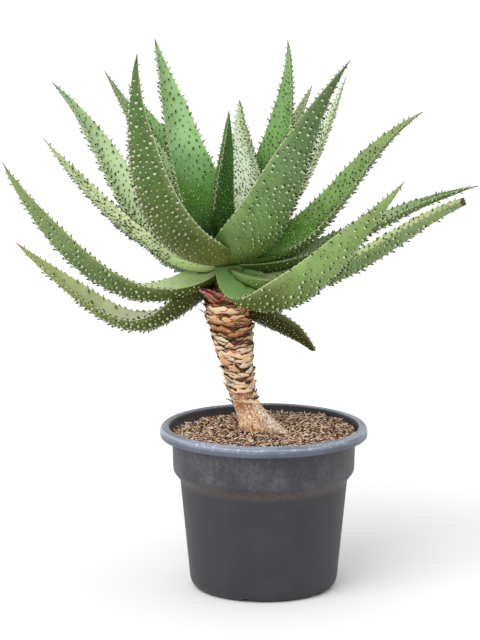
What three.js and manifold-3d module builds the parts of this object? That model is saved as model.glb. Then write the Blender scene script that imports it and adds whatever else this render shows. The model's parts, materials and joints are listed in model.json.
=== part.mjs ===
// A young mountain aloe in a round nursery pot: a rosette of thick, channelled leaves on a
// short leaning stem, standing in soil. Millimetres, +Z up. The origin is the centre of the
// pot's flat underside. The plant's front faces -Y, and bearings turn from +X towards +Y.
import * as THREE from "three";
import { mergeVertices } from "three/addons/utils/BufferGeometryUtils.js";
import Module from "manifold-3d";

const wasm = await Module();
wasm.setup();

// Pieces that touch stand this far apart.
const GAP = 0.3;

// Pot: a moulded container with a rolled rim, a straight collar, a shoulder and a tapered body.
const POT_SIDES = 32;
const POT_HEIGHT = 294;
const RIM_RADIUS = 185;
const RIM_OPENING_RADIUS = 167;
const RIM_DROP = 20;
const RIM_LIP = 3;
const RIM_ROUND_STEPS = 4;
const COLLAR_TOP_RADIUS = 164;
const COLLAR_FOOT_RADIUS = 162;
const COLLAR_FOOT_Z = 215;
const SHOULDER_FOOT_RADIUS = 149;
const SHOULDER_FOOT_Z = 193;
const BODY_FOOT_RADIUS = 133;
const BODY_FOOT_Z = 22;
const EDGE_RADIUS = 128;
const EDGE_Z = 5;
const BASE_RADIUS = 119;
const WALL = 4;
const FLOOR = 9;

// Drain notches in the edge of the underside. One of them faces the front.
const NOTCH_COUNT = 6;
const NOTCH_WIDTH = 24;
const NOTCH_HEIGHT = 5;
const NOTCH_DEPTH = 18;
const NOTCH_TURN = 257;

// Soil: fills the pot to just under the rim, flat where the stem stands on it.
const SOIL_TOP_Z = 285;
const SOIL_EDGE_DROP = 3;
const SOIL_FLAT_SHARE = 0.6;

// Stem: centre, width and depth at each height, from its flat cut on the soil to the heart. It
// leans to -X, is waisted above a flared foot, and swells where it carries the leaf bases.
const STEM_SIDES = 16;
const STEM = [
  { z: SOIL_TOP_Z, x: 3, y: -12, width: 90, depth: 76 },
  { z: 300, x: -8, y: -10, width: 70, depth: 62 },
  { z: 319, x: -22, y: -8, width: 58, depth: 54 },
  { z: 341, x: -34, y: -6, width: 51, depth: 50 },
  { z: 365, x: -42, y: -5, width: 48, depth: 48 },
  { z: 394, x: -46, y: -3, width: 55, depth: 54 },
  { z: 420, x: -51, y: -2, width: 61, depth: 60 },
  { z: 451, x: -55, y: 0, width: 69, depth: 68 },
  { z: 482, x: -60, y: 2, width: 80, depth: 78 },
  { z: 508, x: -62, y: 4, width: 84, depth: 82 },
  { z: 530, x: -63, y: 5, width: 70, depth: 70 },
  { z: 556, x: -63, y: 6, width: 48, depth: 48 },
  { z: 600, x: -64, y: 6, width: 34, depth: 34 },
  { z: 640, x: -64, y: 6, width: 14, depth: 14 },
];

// Leaf: outline and section, shared by every leaf. The section's places run across the blade
// from one margin, 1, to the other, -1.
const LEAF_RINGS = 9;
const FEWEST_RINGS = 3;
const LEAF_TAPER = 0.92;
const LEAF_START_RADIUS = 14;
const FOOT_THICKNESS = 23;
const TIP_THICKNESS = 7;
const THICKNESS_FALL = 0.7;
const TIP_WIDTH = 3;
const FOOT_CHANNEL = 0.12;
const TIP_CHANNEL = 0.34;
const UPPER_SECTION = [1, 0, -1];
const LOWER_SECTION = [-0.93, -0.45, 0.45, 0.93];
const UPPER_SHARE = 0.3;
const SECTION_FULLNESS = 4;
const FOOT_HANDLE = 0.36;
const TIP_HANDLE = 0.36;

// How a leaf's section is swelled before it cuts its neighbours, so that sharp margins keep
// the gap too.
const MARGIN_SWELL = 2;
const FACE_SWELL = 1.4;

// Every leaf, from the heart outwards and down. It leaves the stem at the height "level" along
// the bearing "turn", climbing by "leave" degrees, and reaches "tip" climbing by "arrive".
// "footHandle" and "tipHandle" are how far those directions hold, as shares of the span.
// "footRoll" and "roll" turn the blade about its midrib at the foot and at the tip. "channel"
// is how deep it is hollowed at the tip, as a share of its width. "uncut" is the share of the
// blade that a blunt cut has left. A leaf that bends round a wide gap is made in two lengths,
// parted at the share "split".
const LEAVES = [
  { name: "leaf_heart_dark", turn: 140, level: 636, width: 70, taper: 0.8, leave: 80,
    arrive: 82, tip: [-62, 50, 850] },
  { name: "leaf_heart_pale", turn: 42, level: 625, width: 122, taper: 0.78, leave: 45,
    arrive: 97, tip: [-43, 110, 863], footHandle: 0.45 },
  { name: "leaf_back_broad", turn: 120, level: 618, width: 124, taper: 0.8, leave: 34,
    arrive: 68, tip: [-196, 170, 966], footHandle: 0.44 },
  { name: "leaf_back_right_tall", turn: 46, level: 614, width: 128, leave: 38, arrive: 98,
    tip: [43, 130, 968] },
  { name: "leaf_back_left_dark", turn: 114, level: 606, width: 124, leave: 32, arrive: 50,
    tip: [-247, 250, 877] },
  { name: "leaf_back_right_thin", turn: 52, level: 606, width: 116, leave: 25, arrive: 38,
    tip: [91, 300, 868] },
  { name: "leaf_front_right", turn: -66, level: 600, width: 160, taper: 1.04, leave: 6,
    arrive: 46, tip: [142, -190, 962] },
  { name: "leaf_front_left", turn: -130, level: 598, width: 160, taper: 0.85, leave: 0,
    arrive: 102, tip: [-215, -190, 973], tipHandle: 0.46 },
  { name: "leaf_back_right_pale", turn: 35, level: 598, width: 78, leave: 28, arrive: 60,
    tip: [151, 220, 893], footHandle: 0.4 },
  { name: "leaf_back_left_slim", turn: 145, level: 598, width: 104, leave: 38, arrive: 45,
    tip: [-290, 240, 901] },
  { name: "leaf_left_tall", turn: 162, level: 584, width: 138, leave: -10, arrive: 38,
    tip: [-381, 150, 890], footHandle: 0.38, roll: -30 },
  { name: "leaf_right_rising", turn: 18, level: 594, width: 120, leave: -4, arrive: 26,
    tip: [285, 120, 840], footHandle: 0.42, footRoll: 8, roll: 22 },
  { name: "leaf_left_slim", turn: 184, level: 582, width: 80, leave: 3, arrive: 50,
    tip: [-386, 0, 806], roll: 45 },
  { name: "leaf_right_far", turn: 12, level: 580, width: 96, leave: -6, arrive: 10,
    tip: [383, 80, 712], roll: 14 },
  { name: "leaf_left_long", turn: 186, level: 580, width: 122, taper: 0.88, split: 0.36,
    leave: -40, arrive: 62, tip: [-455, -50, 771], footHandle: 0.46, tipHandle: 0.48,
    footRoll: -15, roll: 60 },
  { name: "leaf_right_cut", turn: -25, level: 572, width: 116, uncut: 0.9, channel: 0.5,
    leave: -20, arrive: 26, tip: [346, -100, 709], footHandle: 0.45, roll: 20 },
  { name: "leaf_front_drooping", turn: -64, level: 588, width: 154, split: 0.34, leave: -56,
    arrive: 48, tip: [234, -220, 762], footHandle: 0.5, tipHandle: 0.47, roll: -10 },
  { name: "leaf_left_drooping", turn: 174, level: 566, width: 122, taper: 0.85, split: 0.38,
    leave: -44, arrive: 40, tip: [-442, 60, 612], footHandle: 0.58, tipHandle: 0.68,
    footRoll: 20, roll: -30 },
  { name: "leaf_back_upper_left", turn: 105, level: 604, width: 105, leave: 25, arrive: 60,
    tip: [-151, 340, 790] },
  { name: "leaf_back_upper_right", turn: 72, level: 602, width: 105, leave: 20, arrive: 60,
    tip: [55, 330, 786] },
  { name: "leaf_back_low", turn: 92, level: 584, width: 105, leave: -5, arrive: 15,
    tip: [-58, 420, 610] },
  { name: "leaf_back_low_left", turn: 130, level: 576, width: 105, leave: -15, arrive: 25,
    tip: [-253, 330, 623] },
  { name: "leaf_back_low_right", turn: 52, level: 572, width: 105, leave: -20, arrive: 22,
    tip: [142, 330, 582] },
  { name: "leaf_back_drooping", turn: 95, level: 554, width: 100, leave: -45, arrive: 10,
    tip: [-48, 330, 488] },
  { name: "leaf_right_hanging", turn: 22, level: 515, width: 156, taper: 0.72, leave: -40,
    arrive: -42, tip: [92, 20, 424] },
];

const radians = THREE.MathUtils.degToRad;
const lerp = THREE.MathUtils.lerp;

// A closed body through rings of equal point counts. Flat fans close both ends; they spread
// from each ring's second point, which on a leaf is the middle of the hollow face.
function loft(rings) {
  const count = rings[0].length;
  const triangles = [];
  for (let r = 0; r + 1 < rings.length; r++) {
    for (let i = 0; i < count; i++) {
      const a = r * count + i;
      const b = r * count + ((i + 1) % count);
      triangles.push(a, b, b + count, a, b + count, a + count);
    }
  }
  const last = (rings.length - 1) * count;
  for (let i = 2; i < count; i++) {
    const next = (i + 1) % count;
    triangles.push(1, next, i, last + 1, last + i, last + next);
  }
  const positions = new Float32Array(rings.flat().flatMap((p) => [p.x, p.y, p.z]));
  const geometry = new THREE.BufferGeometry();
  geometry.setAttribute("position", new THREE.BufferAttribute(positions, 3));
  geometry.setIndex(triangles);
  return geometry;
}

// A closed mesh as a solid that can be joined and cut.
function solidOf(geometry) {
  const bare = new THREE.BufferGeometry();
  bare.setAttribute("position", geometry.getAttribute("position"));
  bare.setIndex(geometry.index);
  const merged = mergeVertices(bare, 1e-3);
  const triangles = [];
  for (let i = 0; i < merged.index.count; i += 3) {
    const [a, b, c] = [0, 1, 2].map((k) => merged.index.getX(i + k));
    if (a !== b && b !== c && c !== a) triangles.push(a, b, c);
  }
  return new wasm.Manifold(
    new wasm.Mesh({
      numProp: 3,
      vertProperties: new Float32Array(merged.attributes.position.array),
      triVerts: new Uint32Array(triangles),
    }),
  );
}

// A solid's surface as a geometry.
function geometryOf(solid) {
  const mesh = solid.getMesh();
  const geometry = new THREE.BufferGeometry();
  geometry.setAttribute("position", new THREE.BufferAttribute(mesh.vertProperties, 3));
  geometry.setIndex(new THREE.BufferAttribute(mesh.triVerts, 1));
  geometry.computeVertexNormals();
  return geometry;
}

// A turned body whose profile is given as radius and height.
function turned(profile) {
  const outline = profile.map(([radius, z]) => new THREE.Vector2(radius, z));
  return new THREE.LatheGeometry(outline, POT_SIDES).rotateX(Math.PI / 2);
}

// The pot's outline: from the centre of its underside up the outside, over the rim and down
// the inside.
function potProfile() {
  const rimMiddle = (RIM_RADIUS + RIM_OPENING_RADIUS) / 2;
  const rimRound = (RIM_RADIUS - RIM_OPENING_RADIUS) / 2;
  const points = [
    [0, 0],
    [BASE_RADIUS, 0],
    [EDGE_RADIUS, EDGE_Z],
    [BODY_FOOT_RADIUS, BODY_FOOT_Z],
    [SHOULDER_FOOT_RADIUS, SHOULDER_FOOT_Z],
    [COLLAR_FOOT_RADIUS, COLLAR_FOOT_Z],
    [COLLAR_TOP_RADIUS, POT_HEIGHT - RIM_DROP],
    [RIM_RADIUS - RIM_LIP, POT_HEIGHT - RIM_DROP],
  ];
  for (let i = 0; i <= RIM_ROUND_STEPS; i++) {
    const angle = (i * Math.PI) / RIM_ROUND_STEPS;
    points.push([
      rimMiddle + rimRound * Math.cos(angle),
      POT_HEIGHT - rimRound + rimRound * Math.sin(angle),
    ]);
  }
  points.push(
    [COLLAR_TOP_RADIUS - WALL, POT_HEIGHT - RIM_DROP],
    [COLLAR_FOOT_RADIUS - WALL, COLLAR_FOOT_Z],
    [SHOULDER_FOOT_RADIUS - WALL, SHOULDER_FOOT_Z],
    [BODY_FOOT_RADIUS - WALL, BODY_FOOT_Z],
    [BASE_RADIUS, FLOOR],
    [0, FLOOR],
  );
  return points;
}

function potGeometry() {
  let pot = solidOf(turned(potProfile()));
  for (let i = 0; i < NOTCH_COUNT; i++) {
    const notch = new THREE.BoxGeometry(NOTCH_DEPTH * 2, NOTCH_WIDTH, NOTCH_HEIGHT * 2);
    notch.translate(EDGE_RADIUS, 0, 0);
    notch.rotateZ(radians(NOTCH_TURN + (i * 360) / NOTCH_COUNT));
    pot = pot.subtract(solidOf(notch));
  }
  return geometryOf(pot);
}

function soilGeometry() {
  const side = COLLAR_TOP_RADIUS - WALL - GAP;
  return turned([
    [0, FLOOR + GAP],
    [BASE_RADIUS - GAP, FLOOR + GAP],
    [BODY_FOOT_RADIUS - WALL - GAP, BODY_FOOT_Z],
    [SHOULDER_FOOT_RADIUS - WALL - GAP, SHOULDER_FOOT_Z],
    [COLLAR_FOOT_RADIUS - WALL - GAP, COLLAR_FOOT_Z],
    [side, POT_HEIGHT - RIM_DROP],
    [side, SOIL_TOP_Z - SOIL_EDGE_DROP],
    [side * SOIL_FLAT_SHARE, SOIL_TOP_Z - GAP],
    [0, SOIL_TOP_Z - GAP],
  ]);
}

// The stem, or the same form swelled by "grow" to cut the leaves that press on it.
function stemGeometry(grow = 0) {
  return loft(
    STEM.map((ring, k) => {
      const lift = k === STEM.length - 1 ? grow : 0;
      const points = [];
      for (let i = 0; i < STEM_SIDES; i++) {
        const angle = (i * 2 * Math.PI) / STEM_SIDES;
        points.push(
          new THREE.Vector3(
            ring.x + (ring.width / 2 + grow) * Math.cos(angle),
            ring.y + (ring.depth / 2 + grow) * Math.sin(angle),
            ring.z + lift,
          ),
        );
      }
      return points;
    }),
  );
}

// The stem's centre at a height, which is where a leaf of that level sits.
function stemAxis(z) {
  const k = Math.max(STEM.findIndex((ring) => ring.z >= z), 1);
  const [low, high] = [STEM[k - 1], STEM[k]];
  const share = (z - low.z) / (high.z - low.z);
  return new THREE.Vector3(lerp(low.x, high.x, share), lerp(low.y, high.y, share), z);
}

// The unit vector along a bearing that climbs by an angle, both in degrees.
function heading(bearing, climb) {
  return new THREE.Vector3(
    Math.cos(radians(climb)) * Math.cos(radians(bearing)),
    Math.cos(radians(climb)) * Math.sin(radians(bearing)),
    Math.sin(radians(climb)),
  );
}

// A leaf's midrib, a cubic curve from the stem to the tip.
function midrib(leaf) {
  const { turn, level, leave, arrive, footHandle = FOOT_HANDLE, tipHandle = TIP_HANDLE } = leaf;
  const tip = new THREE.Vector3(...leaf.tip);
  const foot = stemAxis(level).addScaledVector(heading(turn, 0), LEAF_START_RADIUS);
  const span = foot.distanceTo(tip);
  const tipTurn = THREE.MathUtils.radToDeg(Math.atan2(tip.y - foot.y, tip.x - foot.x));
  return new THREE.CubicBezierCurve3(
    foot,
    foot.clone().addScaledVector(heading(turn, leave), span * footHandle),
    tip.clone().addScaledVector(heading(tipTurn, arrive), -span * tipHandle),
    tip,
  );
}

// A leaf's rings between two shares of its length, swelled by "grow". Its upper face is
// hollowed, and its lower face is crowned.
function leafRings(leaf, from, to, grow) {
  const curve = midrib(leaf);
  const { turn, width, footRoll = 0, roll = 0, taper = LEAF_TAPER, uncut = 1 } = leaf;
  const { channel = TIP_CHANNEL } = leaf;
  const count = Math.max(Math.round(LEAF_RINGS * (to - from)), FEWEST_RINGS);
  const rings = [];
  for (let i = 0; i <= count; i++) {
    const s = lerp(from, to, i / count);
    const along = curve.getTangentAt(s);
    const point = curve.getPointAt(s);
    if (i === 0) point.addScaledVector(along, -grow);
    if (i === count) point.addScaledVector(along, grow);
    const side = heading(turn + 90, 0);
    side.addScaledVector(along, -side.dot(along)).normalize();
    side.applyAxisAngle(along, radians(lerp(footRoll, roll, s)));
    const up = along.clone().cross(side);
    const blade = Math.max((width / 2) * (1 - s * uncut) ** taper, TIP_WIDTH / 2);
    const half = blade + MARGIN_SWELL * grow;
    const curl = 2 * half * lerp(FOOT_CHANNEL, channel, s);
    const thick = lerp(FOOT_THICKNESS, TIP_THICKNESS, s ** THICKNESS_FALL);
    const face = (places, share, swell) =>
      places.map((u) =>
        point
          .clone()
          .addScaledVector(side, u * half)
          .addScaledVector(up, curl * u * u + swell)
          .addScaledVector(up, share * thick * (1 - Math.abs(u) ** SECTION_FULLNESS)),
      );
    rings.push([
      ...face(UPPER_SECTION, UPPER_SHARE, FACE_SWELL * grow),
      ...face(LOWER_SECTION, UPPER_SHARE - 1, -FACE_SWELL * grow),
    ]);
  }
  return rings;
}

// A leaf's lengths as name, start and end: one, or a foot and a blade that meet at the split.
function lengthsOf(leaf) {
  const { name, split } = leaf;
  if (!split) return [{ name, from: 0, to: 1 }];
  const parting = GAP / midrib(leaf).getLength();
  return [
    { name: `${name}_foot`, from: 0, to: split },
    { name: `${name}_blade`, from: split + parting, to: 1 },
  ];
}

const leafGreen = new THREE.MeshStandardMaterial({
  color: 0x6f9c63,
  roughness: 0.55,
  metalness: 0,
});
const dryLeafBase = new THREE.MeshStandardMaterial({
  color: 0xc29563,
  roughness: 0.9,
  metalness: 0,
});
const charcoalPlastic = new THREE.MeshStandardMaterial({
  color: 0x4a4a4e,
  roughness: 0.6,
  metalness: 0,
});
const pottingSoil = new THREE.MeshStandardMaterial({
  color: 0x8a6a4e,
  roughness: 1,
  metalness: 0,
});

const aloe = new THREE.Group();

function addPiece(name, geometry, material) {
  const mesh = new THREE.Mesh(geometry, material);
  mesh.name = name;
  aloe.add(mesh);
}

addPiece("pot", potGeometry(), charcoalPlastic);
addPiece("soil", soilGeometry(), pottingSoil);
addPiece("stem", stemGeometry(), dryLeafBase);

// Each leaf is cut back by the stem and by the leaves above it, so that the bases nest without
// overlapping. What is cut free of the blade is dropped.
const placed = [solidOf(stemGeometry(GAP))];
for (const leaf of LEAVES) {
  const lengths = lengthsOf(leaf);
  for (const { name, from, to } of lengths) {
    let solid = solidOf(loft(leafRings(leaf, from, to, 0)));
    for (const above of placed) {
      if (solid.intersect(above).volume() > 0) solid = solid.subtract(above);
    }
    const [blade] = solid.decompose().sort((a, b) => b.volume() - a.volume());
    addPiece(name, geometryOf(blade), leafGreen);
  }
  for (const { from, to } of lengths) {
    placed.push(solidOf(loft(leafRings(leaf, from, to, GAP))));
  }
}

export default aloe;
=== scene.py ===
import json
import math

import bmesh
import bpy
import numpy as np
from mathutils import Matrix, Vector, noise

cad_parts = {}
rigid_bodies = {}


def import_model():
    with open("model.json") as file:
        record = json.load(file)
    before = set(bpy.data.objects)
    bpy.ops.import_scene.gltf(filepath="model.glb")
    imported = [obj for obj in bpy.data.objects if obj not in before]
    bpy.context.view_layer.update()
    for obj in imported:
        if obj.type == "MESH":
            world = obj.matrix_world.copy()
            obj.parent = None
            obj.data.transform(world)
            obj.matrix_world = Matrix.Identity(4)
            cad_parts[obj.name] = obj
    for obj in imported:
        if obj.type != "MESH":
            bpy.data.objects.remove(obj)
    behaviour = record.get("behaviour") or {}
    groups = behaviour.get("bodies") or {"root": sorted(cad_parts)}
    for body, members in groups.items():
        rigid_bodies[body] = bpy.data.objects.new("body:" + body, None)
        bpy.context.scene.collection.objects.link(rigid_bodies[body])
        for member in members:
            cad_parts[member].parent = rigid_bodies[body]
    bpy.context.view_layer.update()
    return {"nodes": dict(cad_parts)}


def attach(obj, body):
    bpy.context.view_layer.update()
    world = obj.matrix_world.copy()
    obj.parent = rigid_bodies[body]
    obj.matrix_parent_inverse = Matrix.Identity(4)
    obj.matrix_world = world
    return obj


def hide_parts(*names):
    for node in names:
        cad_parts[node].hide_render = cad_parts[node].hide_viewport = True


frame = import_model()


# The pot is a round growers' container, moulded in charcoal plastic in one shot. Its rim is
# rolled over to a soft lip, a collar and a shoulder stiffen it, and drain slots are cut in the
# edge of its underside. The rim is scuffed, and the top of its roll is painted lighter as a
# painted highlight. Dust clings to the collar and the shoulder, and just under the rim the
# collar is left dark as painted shade.
MM = 0.001
POT_SIDES = 192
POT_HEIGHT = 294
RIM_RADIUS = 185
RIM_OPENING_RADIUS = 167
RIM_ROUND = (RIM_RADIUS - RIM_OPENING_RADIUS) / 2
RIM_SKIRT_Z = 274.5
COLLAR_TOP = (164, 277)
COLLAR_FOOT = (162, 216)
SHOULDER_FOOT = (149.4, 193)
BODY_FOOT = (133, 24)
BASE_RADIUS = 118
FLOOR_Z = 9
WALL = 3
RIM_WALL = 2.4
RIM_ROLL_Z = 279
BASE_STEPS = 24
BODY_STEPS = 12
COLLAR_STEPS = 5
CORNER_STEPS = 10
RIM_STEPS = 20
NOTCH_COUNT = 6
NOTCH_TURN = 257
NOTCH_HALF_WIDTH = 12
NOTCH_HEIGHT = 5.5
NOTCH_INNER_RADIUS = 104


def arc(centre, radius, start, end, steps):
    """Points on an arc between two angles in degrees, as radius and height."""
    angles = np.radians(np.linspace(start, end, steps + 1))
    return [(centre[0] + radius * math.cos(a), centre[1] + radius * math.sin(a)) for a in angles]


def between(start, end, steps):
    """Points on a straight line, without its ends."""
    return [tuple(p) for p in np.linspace(start, end, steps + 2)[1:-1]]


def ring_faces(rings, count):
    """The faces between closed rings of points that all have the same count."""
    return [(r * count + i, r * count + (i + 1) % count, (r + 1) * count + (i + 1) % count,
             (r + 1) * count + i) for r in range(rings - 1) for i in range(count)]


def spun(outline, sides):
    """The points and faces of an outline turned about Z. Its two ends are on the axis."""
    rings = np.array(outline[1:-1])
    angles = np.arange(sides) * 2 * math.pi / sides
    x = rings[:, :1] * np.cos(angles)
    y = rings[:, :1] * np.sin(angles)
    z = np.repeat(rings[:, 1:], sides, axis=1)
    points = np.stack([x, y, z], axis=2).reshape(-1, 3)
    points = np.vstack([points, [[0, 0, outline[0][1]], [0, 0, outline[-1][1]]]])
    faces = ring_faces(len(rings), sides)
    last = (len(rings) - 1) * sides
    for i in range(sides):
        after = (i + 1) % sides
        faces.append((len(points) - 2, after, i))
        faces.append((len(points) - 1, last + i, last + after))
    return points, faces


def new_mesh(name, points, faces, edges=()):
    """A mesh from points in millimetres."""
    mesh = bpy.data.meshes.new(name)
    mesh.from_pydata((np.asarray(points) * MM).tolist(), list(edges), faces)
    return mesh


def placed(name, data):
    """A new object in the scene, at the origin."""
    made = bpy.data.objects.new(name, data)
    bpy.context.scene.collection.objects.link(made)
    return made


def new_piece(name, points, faces, material):
    """A smooth shaded mesh object, from points in millimetres."""
    mesh = new_mesh(name, points, faces)
    mesh.materials.append(material)
    mesh.shade_smooth()
    return placed(name, mesh)


def paint(code):
    """A colour written as #rrggbb, for a shader's socket."""
    shares = [int(code[i:i + 2], 16) / 255 for i in (1, 3, 5)]
    return (*[s / 12.92 if s <= 0.04045 else ((s + 0.055) / 1.055) ** 2.4 for s in shares], 1)


def feed(node, sockets):
    """Gives a node's sockets their values or links."""
    for key, value in dict(sockets).items():
        if isinstance(value, bpy.types.NodeSocket):
            node.id_data.links.new(value, node.inputs[key])
        else:
            node.inputs[key].default_value = value


def add(tree, kind, sockets=(), **settings):
    """A new node, with its settings made and its sockets fed."""
    made = tree.nodes.new(kind)
    for key, value in settings.items():
        setattr(made, key, value)
    feed(made, sockets)
    return made


def new_material(name):
    """A material, its node tree, its shader and the object's own coordinates."""
    material = bpy.data.materials.new(name)
    material.use_nodes = True
    tree = material.node_tree
    place = add(tree, "ShaderNodeTexCoord").outputs["Object"]
    return material, tree, tree.nodes["Principled BSDF"], place


# From here to relief, each helper adds its node to the tree that its socket belongs to.
def mixed(share, first, second, how="MIX"):
    """Two colours, each a #rrggbb code or a socket, mixed by a share."""
    first, second = [paint(c) if isinstance(c, str) else c for c in (first, second)]
    sockets = {0: share, 6: first, 7: second}
    return add(share.id_data, "ShaderNodeMix", sockets, data_type="RGBA", blend_type=how).outputs[2]


def stepped(value, low, high, to_low=0.0, to_high=1.0):
    """A value carried smoothly from one range to another."""
    sockets = {0: value, 1: low, 2: high, 3: to_low, 4: to_high}
    made = add(value.id_data, "ShaderNodeMapRange", sockets, interpolation_type="SMOOTHSTEP")
    return made.outputs[0]


def ramp(value, places, codes):
    """Colours laid along a value, each a #rrggbb code at its place."""
    made = add(value.id_data, "ShaderNodeValToRGB", {0: value})
    stops = made.color_ramp.elements
    while len(stops) < len(codes):
        stops.new(0.5)
    for stop, place, code in zip(stops, places, codes):
        stop.position = place
        stop.color = paint(code)
    return made.outputs[0]


def times(first, second, how="MULTIPLY"):
    """A number and another one multiplied, or put together in another way."""
    return add(first.id_data, "ShaderNodeMath", {0: first, 1: second}, operation=how).outputs[0]


def coated(under, over, value, low, high, least=0.0, most=1.0, within=None, how="MIX"):
    """A colour laid over another where a value steps up, everywhere or within a place."""
    share = stepped(value, low, high, least, most)
    if within is not None:
        share = times(within, share)
    return mixed(share, under, over, how)


def cloud(place, scale, detail=3.0, roughness=0.5, distortion=0.0):
    """A soft noise over the given coordinates, from 0 to 1."""
    sockets = {"Vector": place, "Scale": scale, "Detail": detail, "Roughness": roughness,
               "Distortion": distortion}
    return add(place.id_data, "ShaderNodeTexNoise", sockets).outputs["Fac"]


def stretched(place, scale):
    """Coordinates scaled by a different amount along each axis."""
    sockets = {"Vector": place, "Scale": scale}
    return add(place.id_data, "ShaderNodeMapping", sockets).outputs[0]


def vectors(first, second, how="ADD"):
    """Two vectors added, or put together in another way. SCALE takes a number second."""
    sockets = {0: first, "Scale" if how == "SCALE" else 1: second}
    return add(first.id_data, "ShaderNodeVectorMath", sockets, operation=how).outputs[0]


def relief(height, distance, strength=1.0):
    """A surface's direction, tilted by a height that stands out by a distance in metres."""
    sockets = {"Height": height, "Distance": distance, "Strength": strength}
    return add(height.id_data, "ShaderNodeBump", sockets).outputs[0]


pot_plastic, tree, shader, place = new_material("charcoal_pot_plastic")
height = add(tree, "ShaderNodeSeparateXYZ", {0: place}).outputs["Z"]
smudges = cloud(place, 14, 4, 0.6)
grime_and_glint = cloud(place, 160, 4, 0.7)
specks = cloud(place, 620, 2, 0.5)
streaks = cloud(stretched(place, (9, 9, 420)), 1, 5, 0.65)
runs = cloud(stretched(place, (120, 120, 9)), 1, 3, 0.6)
body = mixed(stepped(smudges, 0.35, 0.7), "#26252a", "#302f35")
# The collar's dust fades out just under the rim, so a dark band stays there: painted shade.
on_collar = times(stepped(height, 0.196, 0.222), stepped(height, 0.276, 0.268))
dusty = times(on_collar, stepped(smudges, 0.36, 0.66, 0.25, 1.0))
body = coated(body, "#606066", grime_and_glint, 0.36, 0.68, 0.3, 0.8, dusty)
body = coated(body, "#242326", runs, 0.5, 0.75, 0.0, 0.35, on_collar)
body = coated(body, "#9a9aa0", specks, 0.68, 0.76, 0.0, 0.6, on_collar)
at_shoulder = times(stepped(height, 0.184, 0.198), stepped(height, 0.212, 0.202))
body = coated(body, "#574a41", grime_and_glint, 0.3, 0.62, 0.1, 0.65, at_shoulder)
out_from_middle = add(tree, "ShaderNodeVectorMath", {0: stretched(place, (1, 1, 0))},
                      operation="LENGTH").outputs["Value"]
on_rim = times(stepped(height, 0.2745, 0.2765), stepped(out_from_middle, 0.1685, 0.172))
# The top of the rim's roll is lighter in streaks: scuffs, and a painted highlight where the roll
# faces up.
scuffs_and_highlight = times(stepped(height, 0.280, 0.290), stepped(streaks, 0.36, 0.6, 0.25, 1.0))
rim = mixed(stepped(smudges, 0.3, 0.7), "#3f4550", "#586070")
rim = mixed(scuffs_and_highlight, rim, "#929bab")
# Near-white patches on the top of the roll: painted glints among the scuffs.
rim = coated(rim, "#d9dde1", grime_and_glint, 0.52, 0.7, 0.0, 0.9, scuffs_and_highlight)
wear = times(on_rim, -0.22)
feed(shader, {
    "Base Color": mixed(on_rim, body, rim),
    "Roughness": times(stepped(smudges, 0.3, 0.7, 0.5, 0.6), wear, "ADD"),
    "Normal": relief(times(grime_and_glint, streaks, "ADD"), 0.0006, 0.5)})

rim_centre = (RIM_RADIUS - RIM_ROUND, POT_HEIGHT - RIM_ROUND)
pot_outline = [
    (0, 0),
    *between((0, 0), (BASE_RADIUS, 0), BASE_STEPS),
    (BASE_RADIUS, 0),
    *[(BASE_RADIUS + (BODY_FOOT[0] - BASE_RADIUS) * math.sin(a), BODY_FOOT[1] * (1 - math.cos(a)))
      for a in np.linspace(0.16, math.pi / 2, CORNER_STEPS)],
    *between(BODY_FOOT, SHOULDER_FOOT, BODY_STEPS),
    SHOULDER_FOOT,
    *[(SHOULDER_FOOT[0] + (COLLAR_FOOT[0] - SHOULDER_FOOT[0]) * (3 - 2 * s) * s * s,
       SHOULDER_FOOT[1] + (COLLAR_FOOT[1] - SHOULDER_FOOT[1]) * s)
      for s in np.linspace(0.1, 1, CORNER_STEPS)],
    *between(COLLAR_FOOT, COLLAR_TOP, COLLAR_STEPS),
    (COLLAR_TOP[0], COLLAR_TOP[1] + 3),
    *arc((rim_centre[0], rim_centre[1] - 1), RIM_ROUND - RIM_WALL, 170, 0, CORNER_STEPS),
    (RIM_RADIUS - RIM_WALL, RIM_ROLL_Z),
    (RIM_RADIUS - RIM_WALL, RIM_SKIRT_Z + 0.6),
    (RIM_RADIUS - RIM_WALL / 2, RIM_SKIRT_Z),
    (RIM_RADIUS - 0.2, RIM_SKIRT_Z + 1),
    (RIM_RADIUS, RIM_ROLL_Z),
    *arc(rim_centre, RIM_ROUND, 0, 180, RIM_STEPS),
    (RIM_OPENING_RADIUS - 2.5, RIM_ROLL_Z),
    (COLLAR_TOP[0] - WALL, COLLAR_TOP[1] - 5),
    (COLLAR_FOOT[0] - WALL, COLLAR_FOOT[1]),
    (SHOULDER_FOOT[0] - WALL, SHOULDER_FOOT[1]),
    (BODY_FOOT[0] - WALL, BODY_FOOT[1]),
    (BASE_RADIUS, FLOOR_Z),
    (0, FLOOR_Z),
]
points, faces = spun(pot_outline, POT_SIDES)
for point in points:
    radius = math.hypot(point[0], point[1])
    if point[2] >= NOTCH_HEIGHT or radius < NOTCH_INNER_RADIUS:
        continue
    turn = math.degrees(math.atan2(point[1], point[0]))
    spacing = 360 / NOTCH_COUNT
    off = abs((turn - NOTCH_TURN + spacing / 2) % spacing - spacing / 2)
    if math.radians(off) * radius < NOTCH_HALF_WIDTH:
        point[2] = NOTCH_HEIGHT
pot = new_piece("nursery_pot", points, faces, pot_plastic)
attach(pot, "root")
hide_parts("pot")


# The soil is a coarse mix of shredded bark and wood fibre, poured in to just under the rim and
# firmed by hand. It is lumpy, with loose chips of several colours and pale straws on top.
SOIL_TOP = 285
SOIL_RADIUS = 159.5
SOIL_FLAT_RADIUS = 96
SOIL_EDGE_DROP = 3
SOIL_LUMP = 2.88
LUMP_SPAN = 28
CRUMB_SPAN = 9
CRUMB_SHARE = 0.6
SOIL_LOW_SIDE = (-0.8, 0.6)
SOIL_LOW_DROP = 7
SOIL_GAP = 0.5
SOIL_SIDE_TOP = 270
SOIL_SIDES = 128
SOIL_RINGS = 42

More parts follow.
